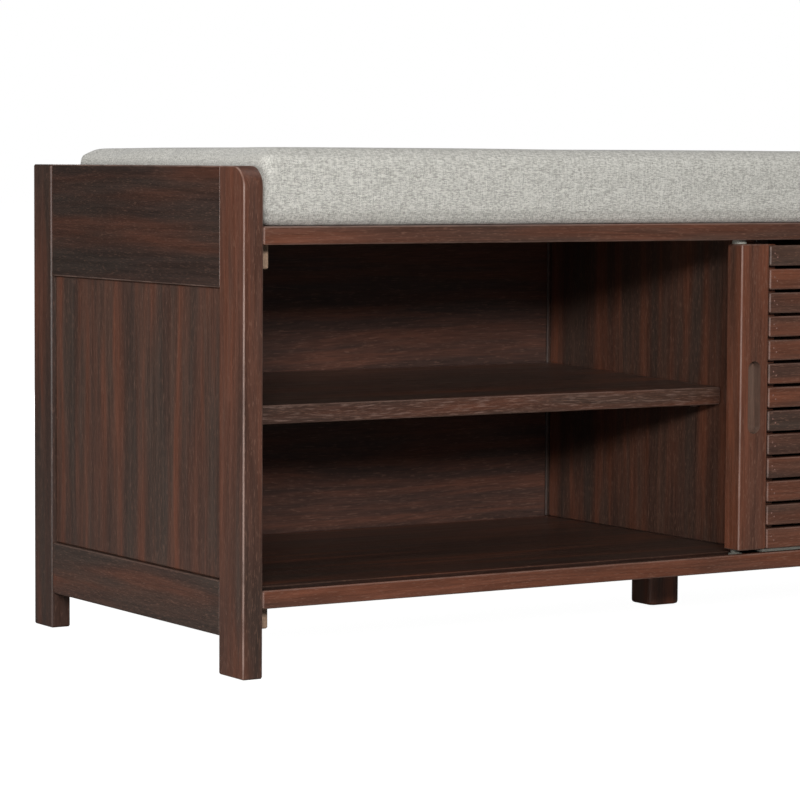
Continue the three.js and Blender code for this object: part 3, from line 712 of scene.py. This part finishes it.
class BENCH_OT_drive_screws(bpy.types.Operator):
    """Drive the screws that hold the cleats to the boards and ends, and the slats to their batten."""

    bl_idname = "bench.drive_screws"
    bl_label = "Drive the screws"

    def execute(self, context):
        hardware = context.scene.bench_hardware
        steel = bpy.data.materials.get("plated_steel") or plated_steel()
        head = hardware.screw_head
        count = hardware.screws_per_face
        proud = head * 0.25
        for name in sorted(n for n in frame["nodes"] if n.endswith("cleat")):
            low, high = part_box(name)
            middle = (low + high) / 2
            outward = copysign(1.0, middle.x)
            shape = bmesh.new()
            for i in range(count):
                step = (high.y - low.y) / count
                y = low.y + (i + 0.5) * step
                screw(shape, (middle.x, y - step / 8, low.z), (0, 0, 1), head, proud)
                inner = low.x if outward > 0 else high.x
                screw(shape, (inner, y + step / 8, middle.z), (outward, 0, 0), head, proud)
            new_piece(name + "_screws", mesh_from(name + "_screws", shape), "frame", steel)
        low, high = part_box("door_back_batten")
        shape = bmesh.new()
        for name in sorted(n for n in frame["nodes"] if n.startswith("door_slat_")):
            slat_low, slat_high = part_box(name)
            place = ((low.x + high.x) / 2, high.y, (slat_low.z + slat_high.z) / 2)
            screw(shape, place, (0, -1, 0), head * 0.8, 0.5 * MM)
        mesh = mesh_from("door_batten_screws", shape)
        new_piece("door_batten_screws", mesh, "door", steel)
        return {"FINISHED"}


class BENCH_OT_fill_brads(bpy.types.Operator):
    """Fill the brad holes at both ends of every slat."""

    bl_idname = "bench.fill_brads"
    bl_label = "Fill the brad holes"

    def execute(self, context):
        shape = bmesh.new()
        profile = [(BRAD_RADIUS, -0.4 * MM), (BRAD_RADIUS, 0.02 * MM), (BRAD_RADIUS * 0.5, 0.09 * MM)]
        for name in sorted(n for n in frame["nodes"] if n.startswith("door_slat_")):
            low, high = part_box(name)
            middle = (low.z + high.z) / 2
            for end, inward in ((low.x, 1), (high.x, -1)):
                for along, rise in BRADS:
                    turn = pointing((0, -1, 0), (end + inward * along, low.y, middle + rise))
                    turned(shape, profile, turn, 14)
        mesh = mesh_from("door_brad_fillers", shape)
        new_piece("door_brad_fillers", mesh, "door", wax_filler())
        return {"FINISHED"}


def rounded_outline(half_x, half_y, radius, steps=8):
    """Points round a rectangle with rounded corners about the origin, as many for every size."""
    points = []
    for quarter, (sx, sy) in enumerate(((1, 1), (-1, 1), (-1, -1), (1, -1))):
        centre = Vector((sx * (half_x - radius), sy * (half_y - radius)))
        for i in range(steps + 1):
            angle = (quarter + i / steps) * pi / 2
            points.append(centre + radius * Vector((cos(angle), sin(angle))))
    return points


def cushion_blank(low, high, cloth):
    """The cover before it is filled: rings of its rounded outline, from the drawn-in foot to the top."""
    middle = (low + high) / 2
    half = (high - low) / 2
    shape = bmesh.new()
    steps = 7
    foot = cloth.edge * 1.4
    levels = []
    for i in range(steps + 1):
        angle = i / steps * pi / 2
        drawn_in = cloth.pull_in * (1 - 0.7 * i / steps)
        levels.append((low.z + foot * (1 - cos(angle)), foot * 0.6 * (1 - sin(angle)) + drawn_in))
    for i in range(steps + 1):
        angle = i / steps * pi / 2
        levels.append((high.z - cloth.edge * (1 - sin(angle)), cloth.edge * (1 - cos(angle))))
    rings = []
    for z, inset in levels:
        outline = rounded_outline(half.x - inset, half.y - inset, max(cloth.corner - inset, 4 * MM))
        rings.append([shape.verts.new((middle.x + p.x, middle.y + p.y, z)) for p in outline])
    for a, b in zip(rings, rings[1:]):
        join_rings(shape, a, b)
    shape.faces.new(rings[0][::-1])
    shape.faces.new(rings[-1])
    return mesh_from("seat_cushion", shape)


def apply_modifiers(piece):
    """Bakes a piece's modifiers into its mesh."""
    graph = bpy.context.evaluated_depsgraph_get()
    baked = bpy.data.meshes.new_from_object(piece.evaluated_get(graph))
    piece.modifiers.clear()
    old = piece.data
    piece.data = baked
    bpy.data.meshes.remove(old)


FILLING_STEPS = 20


def plump(piece, cloth, caps):
    """Fills the cover with air as a cloth simulation. No point moves past caps along each axis."""
    before = [v.co.copy() for v in piece.data.vertices]
    soft = piece.modifiers.new("filling", "CLOTH")
    soft.settings.quality = 5
    soft.settings.mass = 0.3
    soft.settings.tension_stiffness = 20
    soft.settings.compression_stiffness = 12
    soft.settings.shear_stiffness = 6
    soft.settings.bending_stiffness = 0.8
    soft.settings.use_pressure = True
    soft.settings.uniform_pressure_force = cloth.pressure
    soft.settings.effector_weights.gravity = 0
    soft.point_cache.frame_start = 1
    soft.point_cache.frame_end = FILLING_STEPS
    for step in range(1, FILLING_STEPS + 1):
        bpy.context.scene.frame_set(step)
    graph = bpy.context.evaluated_depsgraph_get()
    blown = piece.evaluated_get(graph).to_mesh()
    after = [v.co.copy() for v in blown.vertices]
    piece.evaluated_get(graph).to_mesh_clear()
    piece.modifiers.clear()
    bpy.context.scene.frame_set(1)
    for vertex, start, end in zip(piece.data.vertices, before, after):
        for axis in range(3):
            move = end[axis] - start[axis]
            cap = caps[axis]
            vertex.co[axis] = start[axis] + cap * tanh(move / cap)


# How far the filling may push each point out along X, Y and Z.
SWELL = (0.6 * MM, 1.5 * MM, 3.0 * MM)
# Depths of the cloth's folds and ripples on the sides, and of the folds on the top.
FOLD_DEPTH = 1.2 * MM
RIPPLE_DEPTH = 0.5 * MM
TOP_FOLD_DEPTH = 0.8 * MM
# Half widths of the two kinds of seam, and the height of the one round the foot.
UPRIGHT_SEAM_WIDTH = 2.6 * MM
FOOT_SEAM_WIDTH = 2.4 * MM
FOOT_SEAM_HEIGHT = 9 * MM


class BENCH_OT_make_cushion(bpy.types.Operator):
    """Sew, fill and seam the seat cushion."""

    bl_idname = "bench.make_cushion"
    bl_label = "Make the cushion"

    def execute(self, context):
        cloth = context.scene.bench_cushion
        low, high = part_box("cushion")
        middle = (low + high) / 2
        half = (high - low) / 2
        swell = Vector(SWELL)
        start_low = Vector((low.x + swell.x, low.y + swell.y, low.z))
        start_high = Vector((high.x - swell.x, high.y - swell.y, high.z - swell.z))
        mesh = cushion_blank(start_low, start_high, cloth)
        piece = new_piece("seat_cushion", mesh, "cushion", plain_weave_linen())
        remesh = piece.modifiers.new("voxels", "REMESH")
        remesh.mode = "VOXEL"
        remesh.voxel_size = cloth.voxel
        remesh.use_smooth_shade = True
        apply_modifiers(piece)
        plump(piece, cloth, swell)
        finer = piece.modifiers.new("finer", "SUBSURF")
        finer.levels = 1
        finer.render_levels = 1
        apply_modifiers(piece)
        self.shape_cover(piece.data, low, middle, half, cloth)
        for face in piece.data.polygons:
            face.use_smooth = True
        if not piece.data.materials:
            piece.data.materials.append(bpy.data.materials["plain_weave_linen"])
        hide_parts("cushion")
        return {"FINISHED"}

    @staticmethod
    def shape_cover(mesh, low, middle, half, cloth):
        """Adds the crown, the slack of the cloth and the seams, and keeps the foot flat on the board."""
        corner = Vector((half.x - cloth.corner * 0.35, half.y - cloth.corner * 0.35))
        for vertex in mesh.vertices:
            place = vertex.co - middle
            u = min(abs(place.x) / half.x, 1.0)
            v = min(abs(place.y) / half.y, 1.0)
            rise = max((vertex.co.z - low.z) / (2 * half.z), 0.0)
            vertex.co.z += cloth.crown * rise * (1 - u ** 6) * (1 - v ** 4)
            # Slack: long shallow folds that run along the bench, with finer ripples on them.
            slack = noise.noise(Vector((place.x * 5, place.y * 9, place.z * 38)))
            ripple = noise.noise(Vector((place.x * 17 + 3.7, place.y * 17, place.z * 60)))
            side = FOLD_DEPTH * slack + RIPPLE_DEPTH * ripple
            vertex.co.y += copysign(side * v ** 4, place.y)
            vertex.co.z += TOP_FOLD_DEPTH * slack * rise
            # Upright seams in the corners, and one round the foot.
            away = Vector((abs(place.x) - corner.x, abs(place.y) - corner.y))
            beside = (away.x - away.y) / sqrt(2)
            in_corner = min(away.x, away.y) > -2 * MM
            upright = exp(-(beside / UPRIGHT_SEAM_WIDTH) ** 2) if in_corner else 0.0
            above = vertex.co.z - low.z - FOOT_SEAM_HEIGHT
            around = max(u, v) ** 20 * exp(-(above / FOOT_SEAM_WIDTH) ** 2)
            depth = cloth.seam_depth * max(upright * min(1.0, 1.4 * (1 - rise) + 0.5), around)
            outward = Vector((place.x / half.x, place.y / half.y))
            outward = Vector((copysign(u ** 12, outward.x), copysign(v ** 12, outward.y)))
            if outward.length > 1e-6:
                outward.normalize()
                vertex.co.x -= outward.x * depth
                vertex.co.y -= outward.y * depth
            vertex.co.z = max(vertex.co.z, low.z)
        mesh.update()


# Metres from the bench, degrees from the front towards the right, degrees up, width and height in metres.
SOFTBOXES = {
    "key": (5.0, -31, 14, (1.9, 0.5)),
    "fill": (2.4, -80, 4, (1.6, 0.9)),
    "top": (2.6, -10, 80, (2.6, 2.0)),
    "rear": (3.4, 165, 8, (2.0, 1.0)),
}


def softbox(name, target, distance, heading, height_angle, size, power):
    """A square-cornered soft light that looks at target; its angles are in radians."""
    data = bpy.data.lights.new(name, "AREA")
    data.shape = "RECTANGLE"
    data.size, data.size_y = size
    data.energy = power
    lamp = bpy.data.objects.new(name, data)
    bpy.context.scene.collection.objects.link(lamp)
    level = cos(height_angle)
    away = Vector((sin(heading) * level, -cos(heading) * level, sin(height_angle)))
    lamp.location = target + away * distance
    lamp.rotation_euler = away.to_track_quat("Z", "Y").to_euler()


class BENCH_OT_make_studio(bpy.types.Operator):
    """Set up the pale floor, the softboxes, the white room and the camera."""

    bl_idname = "bench.make_studio"
    bl_label = "Set up the studio"

    def execute(self, context):
        studio = context.scene.bench_studio
        low, high = CAD_BOX
        target = (low + high) / 2
        shape = bmesh.new()
        bmesh.ops.create_grid(shape, x_segments=8, y_segments=8, size=30)
        floor = bpy.data.objects.new("studio_floor", mesh_from("studio_floor", shape, smooth=False))
        floor.location.z = low.z - 0.5 * MM
        context.scene.collection.objects.link(floor)
        material, tree = new_material("painted_floor")
        place = add(tree, "ShaderNodeTexCoord").outputs["Object"]
        speckle = grain_layer(tree, place, 0, 30 * MM, 30 * MM)
        colour = toned(tree, opaque(studio.floor), speckle, (0.3, 0.7), (0.99, 1.0))
        # Lit from within for the eye alone, so the floor reads as white and keeps only a faint shadow.
        seen = add(tree, "ShaderNodeLightPath").outputs["Is Camera Ray"]
        sockets = {0: seen, 1: 0.0, 2: 1.0, 3: 0.0, 4: 0.975}
        glow = add(tree, "ShaderNodeMapRange", sockets, interpolation_type="SMOOTHSTEP").outputs[0]
        finish_material(tree, {
            "Base Color": colour,
            "Roughness": 0.9,
            "Specular IOR Level": 0.1,
            "Emission Color": (1, 1, 1, 1),
            "Emission Strength": glow,
        })
        floor.data.materials.append(material)

        for name, (distance, heading, up, size) in SOFTBOXES.items():
            power = getattr(studio, name)
            softbox(name + "_softbox", target, distance, radians(heading), radians(up), size, power)

        world = bpy.data.worlds.new("white_room")
        context.scene.world = world
        world.use_nodes = True
        room = world.node_tree
        room.nodes.clear()
        seen = add(room, "ShaderNodeLightPath").outputs["Is Camera Ray"]
        sockets = {0: seen, 2: studio.sky, 3: 1.0}
        strength = add(room, "ShaderNodeMix", sockets, data_type="FLOAT").outputs[0]
        white = add(room, "ShaderNodeBackground", {"Color": (1, 1, 1, 1), "Strength": strength})
        add(room, "ShaderNodeOutputWorld", {"Surface": white.outputs[0]})
        context.scene.view_settings.view_transform = "Standard"

        data = bpy.data.cameras.new("studio_camera")
        data.lens = studio.lens
        data.sensor_width = 36
        data.clip_end = 100
        camera = bpy.data.objects.new("studio_camera", data)
        context.scene.collection.objects.link(camera)
        turn = Matrix.Rotation(-studio.heading, 4, "Z") @ Matrix.Rotation(pi / 2 + studio.pitch, 4, "X")
        roll = Matrix.Rotation(studio.roll, 4, "Z")
        camera.matrix_world = Matrix.Translation(studio.place) @ turn @ roll
        context.scene.camera = camera
        return {"FINISHED"}


OPERATORS = (
    BENCH_OT_make_studio,
    BENCH_OT_finish_walnut,
    BENCH_OT_finish_back,
    BENCH_OT_finish_cleats,
    BENCH_OT_make_hardware,
    BENCH_OT_drive_screws,
    BENCH_OT_fill_brads,
    BENCH_OT_make_cushion,
)
SETTINGS = {
    "bench_wood": BenchWood,
    "bench_hardware": BenchHardware,
    "bench_cushion": BenchCushion,
    "bench_studio": BenchStudio,
}


class BENCH_PT_sidebar(bpy.types.Panel):
    """The bench's steps and settings."""

    bl_label = "Storage bench"
    bl_idname = "BENCH_PT_sidebar"
    bl_space_type = "VIEW_3D"
    bl_region_type = "UI"
    bl_category = "Bench"

    def draw(self, context):
        for operator in OPERATORS:
            self.layout.operator(operator.bl_idname)
        for name, group in SETTINGS.items():
            box = self.layout.box()
            for setting in group.__annotations__:
                box.prop(getattr(context.scene, name), setting)


def register():
    for group in SETTINGS.values():
        bpy.utils.register_class(group)
    for name, group in SETTINGS.items():
        setattr(bpy.types.Scene, name, PointerProperty(type=group))
    for operator in OPERATORS:
        bpy.utils.register_class(operator)
    bpy.utils.register_class(BENCH_PT_sidebar)


def unregister():
    bpy.utils.unregister_class(BENCH_PT_sidebar)
    for operator in reversed(OPERATORS):
        bpy.utils.unregister_class(operator)
    for name, group in SETTINGS.items():
        delattr(bpy.types.Scene, name)
        bpy.utils.unregister_class(group)


def main():
    register()
    for operator in OPERATORS:
        group, call = operator.bl_idname.split(".")
        getattr(getattr(bpy.ops, group), call)()


if __name__ == "__main__":
    main()
